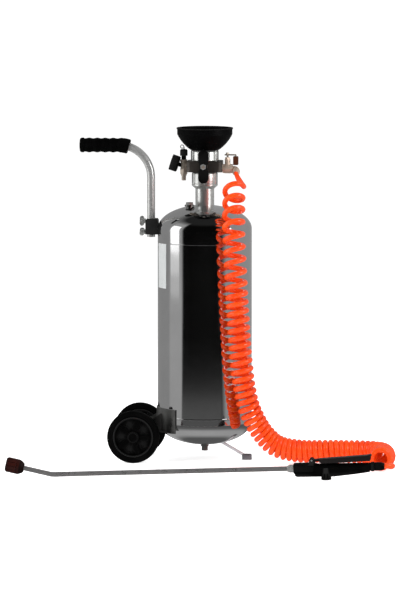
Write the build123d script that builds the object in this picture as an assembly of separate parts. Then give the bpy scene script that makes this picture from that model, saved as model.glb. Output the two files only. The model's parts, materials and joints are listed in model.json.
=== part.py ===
from build123d import *
import os
from math import cos, radians, sin

# A wheeled compressed-air sprayer: an upright steel pressure tank with two wheels and a push handle
# behind it, a filling funnel on a ball valve at the top, and a spiral hose running down its front to a
# trigger gun and lance that lie on the floor. Every shape is drawn in millimetres with the tank's axis
# on Z and the floor at z = 0; +X is the front, where the hose hangs, and -Y is the cart's right side.
# Each piece is then moved so that the origin is the centre of the front foot's flat underside.

# Tank
TANK_R = 117.5
TANK_WALL = 2.0
HEAD_DEPTH = 59.0
BOTTOM_TANGENT = 97.0
BOTTOM_SEAM = 111.0
TOP_SEAM = 548.0
TOP_TANGENT = 581.0
NECK_R = 23.5
NECK_BORE_R = 20.5
NECK_LOW = 624.0
NECK_FLARE = 680.0
NECK_TOP = 692.0
DRAIN_R = 6.0
DRAIN_HEX_LOW = 22.0
TOP_PLUG_AT = (-36.0, -27.0)
TOP_PLUG_R = 8.0
TOP_PLUG_LOW = 630.0
TOP_PLUG_COLLAR = 637.0
TOP_PLUG_HEX = 641.0
TOP_PLUG_TOP = 647.0
PLATE_LOW = 435.0
PLATE_HIGH = 546.0
PLATE_CENTRE_DEG = 209.0
PLATE_HALF_DEG = 11.0
PLATE_THICK = 0.8

# Front foot
FOOT_X = 106.0
FOOT_LENGTH = 24.0
FOOT_WIDTH = 20.0
FOOT_HEIGHT = 14.0
LEG_R = 4.0
LEG_TOP = (40.0, 0.0, 45.0)
LEG_END = (101.0, 0.0, 10.0)

# Wheels and axle
WHEEL_R = 65.0
WHEEL_X = -171.0
WHEEL_Y = 92.0
HUB_HALF = 17.0
HUB_R = 14.0
RIM_R = 50.0
RIM_HALF = 13.0
TYRE_HALF = 15.0
SPOKES = 5
RIM_WALL = 4.0
WEB_HALF = 2.0
SPOKE_HALF = 9.0
SPOKE_WIDTH = 10.0
HOLE_R = 8.0
HOLE_AT = 31.0
TREAD_GROOVES = (-6.0, 0.0, 6.0)
AXLE_R = 6.0
RUNNING_GAP = 0.05
END_GAP = 0.1
SADDLE_LOW = 74.0
SADDLE_HIGH = 134.0
SADDLE_HALF_DEG = 57.0
SADDLE_THICK = 3.0
ARM_Y = 60.0
ARM_THICK = 4.0
BOSS_R = 10.0
CAP_R = 11.0

# Handle and its clamp
TUBE_R = 10.0
TUBE_WALL = 1.5
TUBE_X = -134.5
TUBE_LOW = 558.0
BEND_R = 80.0
GRIP_Z = 787.0
TUBE_END_X = -305.0
GRIP_R = 18.5
GRIP_END_X = -313.0
GRIP_ROUND = 6.0
GRIP_START_DEG = 72.0
CLAMP_LOW = 565.0
CLAMP_HIGH = 604.0
CLAMP_BACK = -148.0
CLAMP_FRONT = -112.0
CLAMP_HALF = 16.0
SCREW_HEIGHTS = {"upper": 598.0, "lower": 571.0}
SCREW_R = 3.0
SCREW_END_X = -163.0
SCREW_NECK_R = 6.0
WING_SPAN = 26.0
WING_WIDTH = 11.0
WING_THICK = 3.0
WING_LEAN = {"upper": 62.0, "lower": 38.0}

# Filling valve, unions and funnel on the tank's axis
BLOCK_LEFT = -44.0
BLOCK_RIGHT = 45.0
BLOCK_HALF = 28.0
BLOCK_LOW = 722.0
BLOCK_HIGH = 750.0
UNION_R = 32.5
UNION_BORE_R = 26.0
UPPER_UNION_R = 35.0
UPPER_UNION_TOP = 775.0
GASKET = 2.0
BALL_Z = 737.0
BALL_R = 12.0
BALL_BORE_R = 6.5
CAVITY_R = 12.5
SEAT_BORE_R = 9.0
STEM_R = 5.0
STEM_THREAD_R = 4.0
GLAND_FACE = -36.0
HANDLE_FACE = -41.0
HANDLE_THICK = 5.0
HANDLE_LENGTH = 83.0
HANDLE_WIDTH = 26.0
SPIGOT_R = 20.0
FUNNEL_R = 69.0
FUNNEL_LOW = 777.0
FUNNEL_HIGH = 831.0
FUNNEL_WALL = 2.5
DIP_X = 16.0
DIP_R = 4.0
PORT_R = 2.5

# Air inlet, safety valve and pressure gauge on the left of the block
CROSS_X = -52.5
CROSS_Z = 738.0
CROSS_R = 8.0
CROSS_HALF = 14.0
CROSS_BORE_R = 4.0
VALVE_R = 9.5
GAUGE_R = 20.0
GAUGE_HALF = 10.0
GAUGE_CENTRE = (-75.0, 0.0, 743.0)
GAUGE_TILT = 18.0
PLUG_R = 5.5

# Outlet valve and hose fittings on the right of the block
OUTLET_Z = 730.0
OUTLET_R = 12.0
OUTLET_END = 70.0
OUTLET_STEM_X = 57.0
OUTLET_BALL_R = 8.0
OUTLET_BORE_R = 4.0
OUTLET_STEM_R = 2.5
LEVER_LOW = 763.0
LEVER_HIGH = 766.0
ELBOW_X = 80.0
ELBOW_R = 6.5
TAIL_SLOPE_DEG = 20.0

# Spiral hose: its coils together fill a sleeve
HOSE_R = 5.0
HOSE_BORE_R = 3.25
HOSE_SLACK = 0.3
COIL_R = 30.0
COIL_INNER_R = 27.5
COIL_CAP = 3.0
CAP_BORE_R = 4.2
COIL_PATH = [
    (79.0, -75.0, 692.0),
    (82.0, -120.0, 615.0),
    (84.0, -129.0, 540.0),
    (98.0, -114.0, 283.0),
    (112.0, -101.0, 167.0),
    (132.0, -89.0, 109.0),
    (159.0, -83.0, 68.0),
    (190.0, -80.0, 43.0),
    (240.0, -78.0, 32.5),
    (310.0, -78.0, 32.0),
    (390.0, -78.0, 32.0),
    (443.0, -100.0, 31.5),
    (458.0, -160.0, 31.5),
    (452.0, -225.0, 31.5),
]
TAIL_PATH = [
    (455.0, -270.0, 31.0),
    (483.0, -325.0, 32.0),
    (491.0, -368.0, 34.0),
]

# Gun and lance, drawn along their own sloping axis with the gun's front face at zero
GUN_FRONT = (250.0, -392.0, 27.3)
GUN_SLOPE = 2.0
GUN_LENGTH = 197.0
GUN_R = 14.0
SWIVEL_NECK_R = 5.0
SWIVEL_FLANGE_R = 6.5
SWIVEL_NUT_END = 222.0
SWIVEL_SOCKET = 10.0
PIVOT = (45.0, 19.5)
PIVOT_R = 2.0
TRIGGER_HALF = 8.0
SKIRT_INNER = 12.6
SKIRT_OUTER = 14.6
EAR_THICK = 3.2
KEEL_HALF = 9.5
KEEL = [(3, 0), (3, -17), (8, -20.5), (100, -21.5), (150, -17), (186, -12.5), (186, 0)]
SKIRT = [(64, 18), (186, 25), (190, 27.5), (188, 15.5), (110, 12.5), (70, 12.5), (64, 14)]
TRIGGER = [(50, 15.6), (186, 22.6), (191, 26.5), (189, 30.5), (180, 28.5), (48, 21.8), (44, 19.5)]
VALVE_X = 79.0
VALVE_PIN_R = 3.0
BONNET_R = 12.5
BONNET_LOW = -29.8
BONNET_HIGH = -13.0
LANCE_R = 6.0
LANCE_BORE_R = 4.5
LANCE_SOCKET = 10.0
LANCE_LENGTH = 593.0
LANCE_BEND_R = 60.0
TIP_RISE = 14.2
TIP_LENGTH = 70.5
TIP_SOCKET = 15.0
NOZZLE_R = 18.5
NOZZLE_LENGTH = 45.0
NOZZLE_SPLIT = 20.0
NOZZLE_SPIGOT_R = 9.0
NOZZLE_SPIGOT_END = 32.0
NOZZLE_FLUTES = 12

UP = (Align.CENTER, Align.CENTER, Align.MIN)
gun_frame = Plane(
    origin=GUN_FRONT,
    x_dir=(cos(radians(GUN_SLOPE)), 0, sin(radians(GUN_SLOPE))),
    z_dir=(-sin(radians(GUN_SLOPE)), 0, cos(radians(GUN_SLOPE))),
)
gauge_frame = Plane(
    origin=GAUGE_CENTRE,
    x_dir=(0, -1, 0),
    z_dir=(-cos(radians(GAUGE_TILT)), 0, sin(radians(GAUGE_TILT))),
)
tip_direction = Vector(-cos(radians(TIP_RISE)), 0, sin(radians(TIP_RISE)))
nozzle_frame = Plane(origin=Vector(-LANCE_LENGTH, 0, 0) + tip_direction * TIP_LENGTH, z_dir=tip_direction)
tail_direction = Vector(0, -cos(radians(TAIL_SLOPE_DEG)), -sin(radians(TAIL_SLOPE_DEG)))
elbow_corner = Vector(ELBOW_X, 0, OUTLET_Z)


# Shapes that several pieces share

def disc(radius, low, high, x=0.0, y=0.0):
    """Upright cylinder between two heights."""
    return Pos(x, y, low) * Cylinder(radius, high - low, align=UP)


def ring(outer, inner, low, high, x=0.0, y=0.0):
    """Upright tube between two heights."""
    return disc(outer, low, high, x, y) - disc(inner, low, high, x, y)


def rod(start, end, radius):
    """Round bar between two points."""
    along = Vector(end) - Vector(start)
    return Plane(origin=start, z_dir=along) * Cylinder(radius, along.length, align=UP)


def lathe(corners):
    """Solid of revolution about Z, from (radius, height) corners."""
    return revolve(Plane.XZ * Polygon(*corners, align=None), Axis.Z)


def lathe_x(corners):
    """Solid of revolution about X, from (distance, radius) corners."""
    return revolve(Polygon(*corners, align=None), Axis.X)


def block(x, y, z):
    """Box from three (low, high) pairs."""
    size = [high - low for low, high in (x, y, z)]
    return Pos(x[0], y[0], z[0]) * Box(*size, align=Align.MIN)


def side_plate(outline, half):
    """Plate cut from an outline in X and Z, centred on Y."""
    return extrude(Plane.XZ * outline, half, both=True)


def sector(centre_deg, half_deg, low, high, reach=300.0):
    """Wedge about the tank's axis, used to cut a patch from a tube."""
    edge = [(reach * cos(radians(a)), reach * sin(radians(a)))
            for a in (centre_deg - half_deg, centre_deg, centre_deg + half_deg)]
    return Pos(0, 0, low) * extrude(Polygon((0, 0), *edge, align=None), high - low)


def swept(section, path):
    """A section carried along a path from its start."""
    return sweep(Plane(origin=path @ 0, z_dir=path % 0) * section, path=path)


def hexagon(across_flats, low, high, x=0.0, y=0.0):
    """Upright hexagonal bar with two flats facing along X."""
    outline = RegularPolygon(across_flats / 2, 6, major_radius=False, rotation=30)
    return Pos(x, y, low) * extrude(outline, high - low)


def spring(mean_r, wire_r, pitch, low, high):
    """Coil spring standing on Z between two heights."""
    path = Helix(pitch, high - low - 2 * wire_r, mean_r)
    return Pos(0, 0, low + wire_r) * swept(Circle(wire_r), path)


# Tank

def dome(radius, depth):
    """Solid upper half of an elliptical head, standing on z = 0."""
    quarter = Ellipse(radius, depth) & Rectangle(radius, depth, align=Align.MIN)
    return revolve(Plane.XZ * quarter, Axis.Z)


def head():
    """Pressed head without its straight flange."""
    return dome(TANK_R, HEAD_DEPTH) - dome(TANK_R - TANK_WALL, HEAD_DEPTH - TANK_WALL)


def tank_shell():
    return ring(TANK_R, TANK_R - TANK_WALL, BOTTOM_SEAM, TOP_SEAM)


def tank_top_head():
    flange = ring(TANK_R, TANK_R - TANK_WALL, TOP_SEAM, TOP_TANGENT)
    shape = Pos(0, 0, TOP_TANGENT) * head() + flange
    shape -= disc(NECK_R, TOP_TANGENT, NECK_TOP)
    return shape - disc(TOP_PLUG_R, TOP_TANGENT, NECK_TOP, *TOP_PLUG_AT)


def tank_bottom_head():
    flange = ring(TANK_R, TANK_R - TANK_WALL, BOTTOM_TANGENT, BOTTOM_SEAM)
    shape = Pos(0, 0, BOTTOM_TANGENT) * Rot(180, 0, 0) * head() + flange
    return shape - disc(DRAIN_R, 0, BOTTOM_TANGENT)


def neck_ferrule():
    return lathe([
        (NECK_BORE_R, NECK_LOW), (NECK_R, NECK_LOW), (NECK_R, NECK_FLARE), (UNION_R - 1, NECK_FLARE + 7),
        (UNION_R, NECK_FLARE + 8), (UNION_R, NECK_TOP), (NECK_BORE_R, NECK_TOP),
    ])


def drain_plug():
    seat = BOTTOM_TANGENT - HEAD_DEPTH
    shape = hexagon(15, DRAIN_HEX_LOW, seat - 5) + disc(10, seat - 5, seat + 2)
    shape -= Pos(0, 0, BOTTOM_TANGENT) * Rot(180, 0, 0) * dome(TANK_R, HEAD_DEPTH)
    return shape + disc(DRAIN_R, seat - 3, seat + 5)


def top_plug():
    shape = disc(TOP_PLUG_R, TOP_PLUG_LOW, TOP_PLUG_COLLAR, *TOP_PLUG_AT)
    shape += disc(TOP_PLUG_R + 4, TOP_PLUG_COLLAR, TOP_PLUG_HEX, *TOP_PLUG_AT)
    shape -= Pos(0, 0, TOP_TANGENT) * (dome(TANK_R, HEAD_DEPTH) - disc(TOP_PLUG_R, 0, HEAD_DEPTH, *TOP_PLUG_AT))
    return shape + hexagon(17, TOP_PLUG_HEX, TOP_PLUG_TOP, *TOP_PLUG_AT)


def rating_plate():
    skin = ring(TANK_R + PLATE_THICK, TANK_R, PLATE_LOW, PLATE_HIGH)
    return skin & sector(PLATE_CENTRE_DEG, PLATE_HALF_DEG, PLATE_LOW, PLATE_HIGH)


# Front foot and axle bracket

def stand_leg():
    leg = rod(LEG_TOP, LEG_END, LEG_R)
    return leg - Pos(0, 0, BOTTOM_TANGENT) * Rot(180, 0, 0) * dome(TANK_R, HEAD_DEPTH)


def foot_cap():
    half_l = FOOT_LENGTH / 2
    half_w = FOOT_WIDTH / 2
    shape = block((FOOT_X - half_l, FOOT_X + half_l), (-half_w, half_w), (0, FOOT_HEIGHT))
    shape = fillet(shape.edges().filter_by(Axis.Z), 6)
    shape = fillet(shape.faces().sort_by(Axis.Z)[-1].edges(), 3)
    return shape - rod(LEG_TOP, LEG_END, LEG_R)


def axle_bracket():
    saddle = ring(TANK_R + SADDLE_THICK, TANK_R, SADDLE_LOW, SADDLE_HIGH)
    shape = saddle & sector(180, SADDLE_HALF_DEG, SADDLE_LOW, SADDLE_HIGH)
    eye = Pos(WHEEL_X, WHEEL_R) * Circle(HUB_R)
    root = Pos(-90, 104) * Rectangle(20, 40)
    outline = make_hull(eye.edges() + root.edges())
    boss_end = WHEEL_Y - HUB_HALF - END_GAP
    for side in (-1, 1):
        shape += Pos(0, side * ARM_Y, 0) * side_plate(outline, ARM_THICK / 2)
        shape += rod((WHEEL_X, side * ARM_Y, WHEEL_R), (WHEEL_X, side * boss_end, WHEEL_R), BOSS_R)
    shape -= disc(TANK_R, 0, TOP_SEAM)
    return shape - rod((WHEEL_X, -WHEEL_Y, WHEEL_R), (WHEEL_X, WHEEL_Y, WHEEL_R), AXLE_R)


def axle():
    half = WHEEL_Y + HUB_HALF + 4
    return rod((WHEEL_X, -half, WHEEL_R), (WHEEL_X, half, WHEEL_R), AXLE_R)


# Wheels, drawn with the axle on Z and the outer face up

def on_axle(shape, side):
    """Puts a wheel piece on its side of the cart, outer face outwards."""
    return Pos(WHEEL_X, side * WHEEL_Y, WHEEL_R) * Rot(-90 * side, 0, 0) * shape


def wheel_rim(side):
    in_rim = RIM_R - RIM_WALL / 2
    across = (-SPOKE_WIDTH / 2, SPOKE_WIDTH / 2)
    shape = ring(RIM_R, RIM_R - RIM_WALL, -RIM_HALF, RIM_HALF)
    shape += disc(HUB_R, -HUB_HALF, HUB_HALF)
    shape += disc(in_rim, -WEB_HALF, WEB_HALF)
    for k in range(SPOKES):
        shape += Rot(0, 0, k * 360 / SPOKES) * block((AXLE_R, in_rim), across, (-SPOKE_HALF, SPOKE_HALF))
        shape -= Rot(0, 0, (k + 0.5) * 360 / SPOKES) * disc(HOLE_R, -WEB_HALF, WEB_HALF, x=HOLE_AT)
    return on_axle(shape - disc(AXLE_R + RUNNING_GAP, -HUB_HALF, HUB_HALF), side)


def tyre(side):
    section = Pos((RIM_R + WHEEL_R) / 2, 0) * RectangleRounded(WHEEL_R - RIM_R, 2 * TYRE_HALF, 6)
    shape = revolve(Plane.XZ * section, Axis.Z)
    for height in TREAD_GROOVES:
        shape -= ring(WHEEL_R + 1, WHEEL_R - 2, height - 1, height + 1)
    return on_axle(shape, side)


def axle_caps():
    cap = disc(CAP_R, HUB_HALF + END_GAP, HUB_HALF + 6)
    cap = fillet(cap.faces().sort_by(Axis.Z)[-1].edges(), 3)
    cap -= disc(AXLE_R, HUB_HALF, HUB_HALF + 4)
    return Compound([on_axle(cap, side) for side in (-1, 1)])


# Handle

def handle_path():
    corner = (TUBE_X, 0, GRIP_Z)
    return FilletPolyline((TUBE_X, 0, TUBE_LOW), corner, (TUBE_END_X, 0, GRIP_Z), radius=BEND_R)


def handle_tube():
    return swept(Circle(TUBE_R) - Circle(TUBE_R - TUBE_WALL), handle_path())


def handle_grip():
    centre_x = TUBE_X - BEND_R
    centre_z = GRIP_Z - BEND_R
    arc = [(centre_x + BEND_R * cos(radians(a)), 0, centre_z + BEND_R * sin(radians(a)))
           for a in (GRIP_START_DEG, (GRIP_START_DEG + 90) / 2, 90)]
    path = Curve() + [ThreePointArc(*arc), Line(arc[-1], (GRIP_END_X, 0, GRIP_Z))]
    shape = swept(Circle(GRIP_R), path.wire())
    ends = shape.edges().filter_by(GeomType.CIRCLE).group_by(Axis.X)
    shape = fillet(ends[0], GRIP_ROUND)
    return shape - swept(Circle(TUBE_R), handle_path())


def clamp_block():
    outline = Polygon(
        (CLAMP_BACK, CLAMP_LOW), (CLAMP_FRONT, CLAMP_LOW), (CLAMP_FRONT, CLAMP_HIGH - 12),
        (CLAMP_FRONT - 7, CLAMP_HIGH),
        (CLAMP_BACK + 4, CLAMP_HIGH), (CLAMP_BACK, CLAMP_HIGH - 4), align=None,
    )
    shape = side_plate(outline, CLAMP_HALF)
    shape = fillet(shape.edges().filter_by(Axis.Z), 4)
    shape -= disc(TANK_R, 0, NECK_TOP)
    shape -= disc(TUBE_R + RUNNING_GAP, CLAMP_LOW - 1, CLAMP_HIGH + 1, x=TUBE_X)
    for height in SCREW_HEIGHTS.values():
        shape -= rod((CLAMP_BACK - 1, 0, height), (TUBE_X, 0, height), SCREW_R + RUNNING_GAP)
    return shape


def wing_screw(name):
    height = SCREW_HEIGHTS[name]
    tip = TUBE_X - TUBE_R - END_GAP
    shape = rod((SCREW_END_X + 4, 0, height), (tip, 0, height), SCREW_R)
    shape += rod((SCREW_END_X + 4, 0, height), (CLAMP_BACK - END_GAP, 0, height), SCREW_NECK_R)
    wings = extrude(SlotOverall(WING_SPAN, WING_WIDTH) - Circle(SCREW_R), WING_THICK / 2, both=True)
    return shape + Pos(SCREW_END_X + 5.5, 0, height) * Rot(WING_LEAN[name], 0, 0) * Rot(0, 0, 90) * wings


# Filling valve, unions and funnel

def notched_union(outer, inner, low, high):
    """Round union nut with half-round spanner notches and chamfered rims."""
    shape = lathe([
        (inner, low), (outer - 2, low), (outer, low + 2), (outer, high - 2), (outer - 2, high), (inner, high),
    ])
    for k in range(6):
        shape -= Rot(0, 0, 30 + 60 * k) * disc(3.5, low - 1, high + 1, x=outer + 1)
    return shape


def lower_union():
    return notched_union(UNION_R, UNION_BORE_R, NECK_TOP, BLOCK_LOW - GASKET)


def upper_union():
    return notched_union(UPPER_UNION_R, SPIGOT_R, BLOCK_HIGH, UPPER_UNION_TOP)


def neck_gaskets():
    lower = ring(UNION_R - 1, UNION_BORE_R, BLOCK_LOW - GASKET, BLOCK_LOW)
    upper = ring(UPPER_UNION_R - 1, SPIGOT_R, UPPER_UNION_TOP, FUNNEL_LOW)
    return Compound([lower, upper])


def manifold_block():
    shape = block((BLOCK_LEFT, BLOCK_RIGHT), (-BLOCK_HALF, BLOCK_HALF), (BLOCK_LOW, BLOCK_HIGH))
    shape = fillet(shape.edges().filter_by(Axis.Z), 9)
    shape = fillet(shape.faces().sort_by(Axis.Z)[-1].edges(), 2)
    shape += rod((0, 0, BALL_Z), (0, GLAND_FACE, BALL_Z), 10)
    shape -= Pos(0, 0, BALL_Z) * Sphere(CAVITY_R)
    shape -= disc(CAVITY_R, BALL_Z, BLOCK_HIGH)
    shape -= disc(SEAT_BORE_R, BLOCK_LOW, BALL_Z)
    shape -= rod((0, 0, BALL_Z), (0, GLAND_FACE, BALL_Z), STEM_R + RUNNING_GAP)
    for port_x, port_z, side_x in ((-DIP_X, CROSS_Z, BLOCK_LEFT), (DIP_X, OUTLET_Z, BLOCK_RIGHT)):
        shape -= disc(PORT_R, BLOCK_LOW, port_z, x=port_x)
        shape -= rod((port_x, 0, port_z), (side_x, 0, port_z), PORT_R)
    return shape - disc(DIP_R, BLOCK_LOW, BLOCK_LOW + 5, x=DIP_X)


def fill_ball():
    return Pos(0, 0, BALL_Z) * Sphere(BALL_R) - disc(BALL_BORE_R, BLOCK_LOW, BLOCK_HIGH)


def ball_seats():
    ball_room = Pos(0, 0, BALL_Z) * Sphere(BALL_R + RUNNING_GAP)
    lower = ring(SEAT_BORE_R, BALL_BORE_R, BLOCK_LOW, BALL_Z - 8) - ball_room
    upper = ring(CAVITY_R, BALL_BORE_R, BALL_Z + 6, BLOCK_HIGH) - ball_room
    return Compound([lower.solid(), upper.solid()])


def fill_stem():
    shape = rod((0, -9, BALL_Z), (0, HANDLE_FACE, BALL_Z), STEM_R)
    shape += rod((0, HANDLE_FACE, BALL_Z), (0, HANDLE_FACE - HANDLE_THICK - 7, BALL_Z), STEM_THREAD_R)
    return shape - Pos(0, 0, BALL_Z) * Sphere(BALL_R)


def fill_handle():
    outline = Rot(0, 0, 90) * SlotOverall(HANDLE_LENGTH, HANDLE_WIDTH)
    for side in (-1, 1):
        outline -= Pos(side * (HANDLE_WIDTH / 2 + 12), 0) * Circle(16)
    outline -= Circle(STEM_THREAD_R)
    plate = Pos(0, HANDLE_FACE - HANDLE_THICK, BALL_Z) * extrude(Plane.XZ * outline, -HANDLE_THICK)
    return chamfer(plate.faces().sort_by(Axis.Y)[0].outer_wire().edges(), 1.2)


def fill_handle_nut():
    face = HANDLE_FACE - HANDLE_THICK
    nut = hexagon(13, 0, 5) - disc(STEM_THREAD_R, 0, 5)
    return Pos(0, face, BALL_Z) * Rot(90, 0, 0) * nut


def funnel():
    low_outer = (36, FUNNEL_LOW)
    low_inner = (34.5, FUNNEL_LOW + FUNNEL_WALL + 0.3)
    brim_outer = (FUNNEL_R, 816)
    brim_inner = (FUNNEL_R - FUNNEL_WALL, 817)
    inside = SPIGOT_R - 3
    outline = [
        Line((inside, BLOCK_HIGH + 2), (SPIGOT_R, BLOCK_HIGH + 2)),
        Line((SPIGOT_R, BLOCK_HIGH + 2), (SPIGOT_R, FUNNEL_LOW)),
        Line((SPIGOT_R, FUNNEL_LOW), low_outer),
        ThreePointArc(low_outer, (55.2, 794.6), brim_outer),
        Line(brim_outer, (FUNNEL_R, FUNNEL_HIGH)),
        Line((FUNNEL_R, FUNNEL_HIGH), (FUNNEL_R - FUNNEL_WALL, FUNNEL_HIGH)),
        Line((FUNNEL_R - FUNNEL_WALL, FUNNEL_HIGH), brim_inner),
        ThreePointArc(brim_inner, (53.3, 796.3), low_inner),
        Line(low_inner, (inside, low_inner[1])),
        Line((inside, low_inner[1]), (inside, BLOCK_HIGH + 2)),
    ]
    shape = revolve(Plane.XZ * make_face(outline), Axis.Z)
    return shape + ring(FUNNEL_R + 1.5, FUNNEL_R - FUNNEL_WALL, FUNNEL_HIGH - 2, FUNNEL_HIGH + 1)


def funnel_strainer():
    low = FUNNEL_LOW + FUNNEL_WALL + 0.3
    shape = disc(33, low, low + 1.2) + ring(33, 31.5, low, low + 3)
    for count, radius in ((1, 0), (6, 5.2), (12, 10.4), (18, 15.6)):
        for k in range(count):
            shape -= Rot(0, 0, k * 360 / count) * disc(1.5, low - 1, low + 2, x=radius)
    return shape


def dip_tube():
    return ring(DIP_R, DIP_R - 1, 46, BLOCK_LOW + 5, x=DIP_X)


# Air inlet, safety valve and gauge

def inlet_cross():
    reach = CROSS_X - CROSS_R
    low = CROSS_Z - CROSS_HALF
    high = CROSS_Z + CROSS_HALF
    shape = rod((BLOCK_LEFT, 0, CROSS_Z), (CROSS_X, 0, CROSS_Z), CROSS_R - 1)
    shape += disc(CROSS_R, low, high, x=CROSS_X)
    shape += hexagon(17, low, low + 6, x=CROSS_X) + hexagon(17, high - 6, high, x=CROSS_X)
    shape -= rod((BLOCK_LEFT, 0, CROSS_Z), (reach, 0, CROSS_Z), PORT_R)
    return shape - disc(CROSS_BORE_R, low, high, x=CROSS_X)


def inlet_plug():
    top = CROSS_Z - CROSS_HALF
    shape = hexagon(17, 716, top, x=CROSS_X) + disc(7, 712, 716, x=CROSS_X)
    shape += disc(PLUG_R, 700, 712, x=CROSS_X)
    shape += disc(CROSS_BORE_R, top, top + 6, x=CROSS_X)
    return shape - disc(2.5, 700, top + 6, x=CROSS_X)


def safety_valve_body():
    low = CROSS_Z + CROSS_HALF
    shape = lathe([
        (3, low - 6), (CROSS_BORE_R, low - 6), (CROSS_BORE_R, low), (6, low), (6, 761), (VALVE_R, 762),
        (VALVE_R, 775), (7, 778), (2 + RUNNING_GAP, 778), (2 + RUNNING_GAP, 774), (7, 774), (7, 763), (3, 763),
    ])
    return Pos(CROSS_X, 0, 0) * shape


def safety_valve_stem():
    shape = disc(6.5, 763.1, 765, x=CROSS_X) + disc(2, 765, 784, x=CROSS_X)
    return shape + Pos(CROSS_X - 4.5, 0, 784.5) * Rot(90, 0, 0) * Torus(4, 1.2)


def safety_valve_spring():
    return Pos(CROSS_X, 0, 0) * spring(4.6, 0.6, 2.2, 765.1, 773.9)


def gauge_case():
    shape = disc(GAUGE_R, -GAUGE_HALF, GAUGE_HALF) - disc(GAUGE_R - 2, -7, GAUGE_HALF)
    shape = fillet(shape.faces().sort_by(Axis.Z)[0].edges(), 3)
    shape += disc(5, -GAUGE_HALF - 8, -GAUGE_HALF)
    low = CROSS_Z - CROSS_HALF
    cross = disc(CROSS_R, low, low + 2 * CROSS_HALF, x=CROSS_X) + hexagon(17, low, low + 6, x=CROSS_X)
    cross += hexagon(17, low + 2 * CROSS_HALF - 6, low + 2 * CROSS_HALF, x=CROSS_X)
    return gauge_frame * shape - cross


def gauge_dial():
    return gauge_frame * ring(GAUGE_R - 2, 0.8 + RUNNING_GAP, -7, -6.4)


def gauge_lens():
    return gauge_frame * disc(GAUGE_R - 2, 7, 9)


def gauge_needle():
    shape = disc(2.5, -5.8, -4.5) + disc(0.8, -6.9, -5.8)
    pointer = Polygon((-5, -1.2), (14, -0.4), (14, 0.4), (-5, 1.2), align=None)
    shape += Pos(0, 0, -5.5) * extrude(pointer, 0.6)
    return gauge_frame * Rot(0, 0, 225) * shape


# Outlet valve and hose fittings

def outlet_valve_body():
    start = (BLOCK_RIGHT, 0, OUTLET_Z)
    end = (OUTLET_END, 0, OUTLET_Z)
    shape = Plane(origin=start, z_dir=(1, 0, 0)) * hexagon(22, 0, OUTLET_END - BLOCK_RIGHT)
    shape &= rod(start, end, OUTLET_R)
    shape += rod((50, 0, OUTLET_Z), (65, 0, OUTLET_Z), OUTLET_R)
    shape += disc(7, OUTLET_Z, 754, x=OUTLET_STEM_X) + hexagon(12, 754, 758, x=OUTLET_STEM_X)
    shape -= Pos(OUTLET_STEM_X, 0, OUTLET_Z) * Sphere(OUTLET_BALL_R + RUNNING_GAP)
    shape -= rod(start, end, OUTLET_BORE_R)
    return shape - disc(OUTLET_STEM_R + RUNNING_GAP, OUTLET_Z, LEVER_LOW, x=OUTLET_STEM_X)


def outlet_ball():
    shape = Pos(OUTLET_STEM_X, 0, OUTLET_Z) * Sphere(OUTLET_BALL_R)
    shape -= rod((BLOCK_RIGHT, 0, OUTLET_Z), (OUTLET_END, 0, OUTLET_Z), OUTLET_BORE_R)
    shape += disc(OUTLET_STEM_R, OUTLET_Z + 6, LEVER_HIGH, x=OUTLET_STEM_X)
    return shape + hexagon(8, LEVER_HIGH, LEVER_HIGH + 4, x=OUTLET_STEM_X)


def outlet_lever():
    shape = block((50, 79), (-5, 5), (LEVER_LOW, LEVER_HIGH)) + block((76, 79), (-5, 5), (742, LEVER_HIGH))
    shape = fillet(shape.edges().filter_by(Axis.Y).group_by(Axis.X)[-1].sort_by(Axis.Z)[-1], 2.5)
    return shape - disc(OUTLET_STEM_R, LEVER_LOW, LEVER_HIGH, x=OUTLET_STEM_X)


def lever_sleeve():
    shape = block((71, 84), (-7, 7), (739, 761))
    shape = fillet(shape.edges(), 2.5)
    return shape - block((76, 79), (-5, 5), (742, LEVER_HIGH))


def hose_elbow():
    path = FilletPolyline((OUTLET_END, 0, OUTLET_Z), elbow_corner, elbow_corner + tail_direction * 14, radius=8)
    return swept(Circle(ELBOW_R) - Circle(OUTLET_BORE_R), path)


def hose_nut():
    start = elbow_corner + tail_direction * 14
    bore = HOSE_R + HOSE_SLACK
    nut = lathe([(bore, 0), (8.5, 0), (9, 1), (9, 9), (7, 15), (bore, 15)])
    return Plane(origin=start, z_dir=tail_direction) * nut


# Spiral hose

def coil_hose():
    sleeve_path = Spline(*COIL_PATH)
    shape = swept(Circle(COIL_R) - Circle(COIL_INNER_R), sleeve_path)
    for end, way in ((0, 1), (1, -1)):
        cap = Plane(origin=sleeve_path @ end, z_dir=(sleeve_path % end) * way)
        shape += cap * ring((COIL_R + COIL_INNER_R) / 2, CAP_BORE_R, 0, COIL_CAP)
    start = elbow_corner + tail_direction * 16
    top_tail = Spline(
        start, sleeve_path @ 0 + (sleeve_path % 0) * COIL_CAP / 2,
        tangents=(tail_direction, sleeve_path % 0),
    )
    nut_mouth = gun_frame.from_local_coords((SWIVEL_NUT_END, 0, 0))
    nut_seat = gun_frame.from_local_coords((SWIVEL_NUT_END - SWIVEL_SOCKET, 0, 0))
    low_tail = Spline(
        sleeve_path @ 1 - (sleeve_path % 1) * COIL_CAP / 2, *TAIL_PATH, nut_mouth,
        tangents=(sleeve_path % 1, gun_frame.x_dir * -1),
    )
    section = Circle(HOSE_R) - Circle(HOSE_BORE_R)
    shape += swept(section, top_tail)
    return shape + swept(section, low_tail + Line(nut_mouth, nut_seat))


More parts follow.
